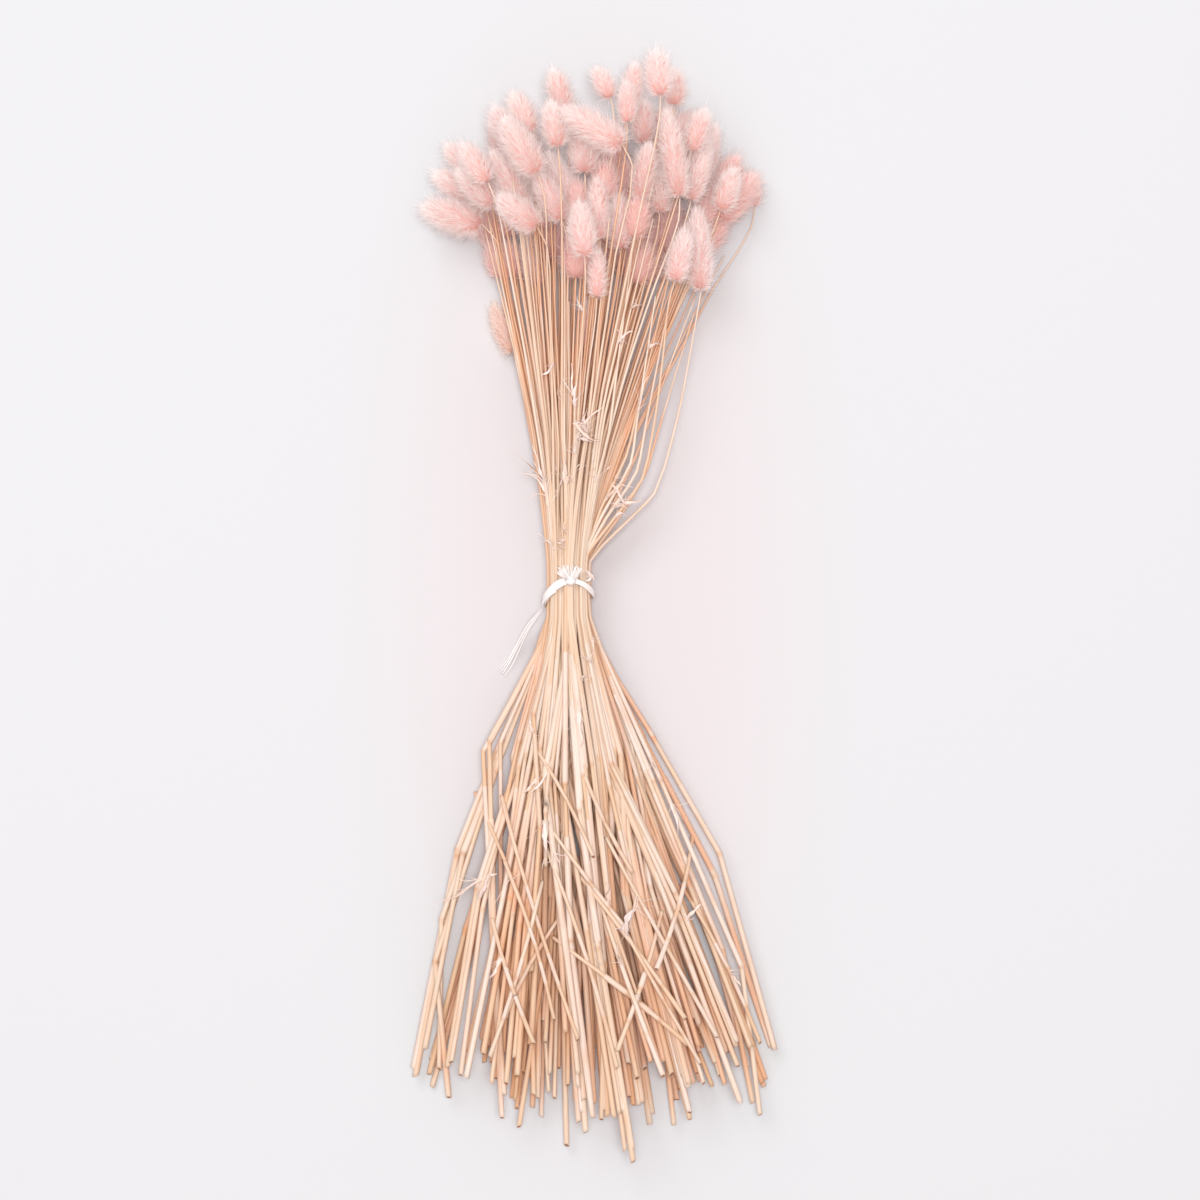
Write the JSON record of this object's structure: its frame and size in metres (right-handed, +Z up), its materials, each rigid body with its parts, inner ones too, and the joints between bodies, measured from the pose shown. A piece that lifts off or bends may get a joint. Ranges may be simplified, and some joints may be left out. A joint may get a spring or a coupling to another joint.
{
  "type": "bundle of dried bunny tail grass",
  "caption": "Loose tied bundle of dried bunny tail grass lying on its side: soft oval blush heads on thin straw stems that fan out below a raffia tie.",
  "frame": {"origin": "middle of the bundle's outline as seen from above, on the surface that it lies on", "axes": "+Y along the bundle from the cut stem ends to the heads, +X to the right as seen from above with the heads away, +Z up from the surface"},
  "size_m": [0.2166, 0.6469, 0.0829],
  "materials": {
    "blush_head": "soft dyed hair, blush pink",
    "deep_blush_head": "soft dyed hair, deeper blush in the shade",
    "straw": "dry matt straw with a faint sheen",
    "raffia": "pale dry raffia strip"
  },
  "bodies": {
    "root": {"bunny_tail_01": "blush_head", "bunny_tail_02": "blush_head", "bunny_tail_03": "blush_head", "bunny_tail_04": "blush_head", "bunny_tail_05": "blush_head", "bunny_tail_06": "blush_head", "bunny_tail_07": "blush_head", "bunny_tail_08": "blush_head", "bunny_tail_09": "blush_head", "bunny_tail_10": "blush_head", "bunny_tail_11": "blush_head", "bunny_tail_12": "blush_head", "bunny_tail_13": "blush_head", "bunny_tail_14": "blush_head", "bunny_tail_15": "blush_head", "bunny_tail_16": "blush_head", "bunny_tail_17": "blush_head", "bunny_tail_18": "blush_head", "bunny_tail_19": "blush_head", "bunny_tail_20": "blush_head", "bunny_tail_21": "blush_head", "bunny_tail_22": "blush_head", "bunny_tail_23": "blush_head", "bunny_tail_24": "blush_head", "bunny_tail_25": "blush_head", "bunny_tail_26": "blush_head", "bunny_tail_27": "blush_head", "bunny_tail_28": "blush_head", "bunny_tail_29": "blush_head", "bunny_tail_30": "blush_head", "bunny_tail_31": "blush_head", "bunny_tail_32": "blush_head", "bunny_tail_33": "blush_head", "bunny_tail_34": "blush_head", "bunny_tail_35": "blush_head", "bunny_tail_36": "blush_head", "bunny_tail_37": "blush_head", "bunny_tail_38": "blush_head", "bunny_tail_39": "blush_head", "bunny_tail_40": "blush_head", "bunny_tails_under_1": "deep_blush_head", "bunny_tails_under_2": "deep_blush_head", "bunny_tails_under_3": "deep_blush_head", "bunny_tails_under_4": "deep_blush_head", "bunny_tails_under_5": "deep_blush_head", "bunny_tails_under_6": "deep_blush_head", "bunny_tails_under_7": "deep_blush_head", "bunny_tails_under_8": "deep_blush_head", "stems_middle": "straw", "stems_right": "straw", "stems_right_top": "straw", "stems_top": "straw", "stems_left_top": "straw", "stems_left": "straw", "stems_left_low": "straw", "stems_low": "straw", "stems_right_low": "straw", "raffia_tie": "raffia"}
  },
  "joints": []
}
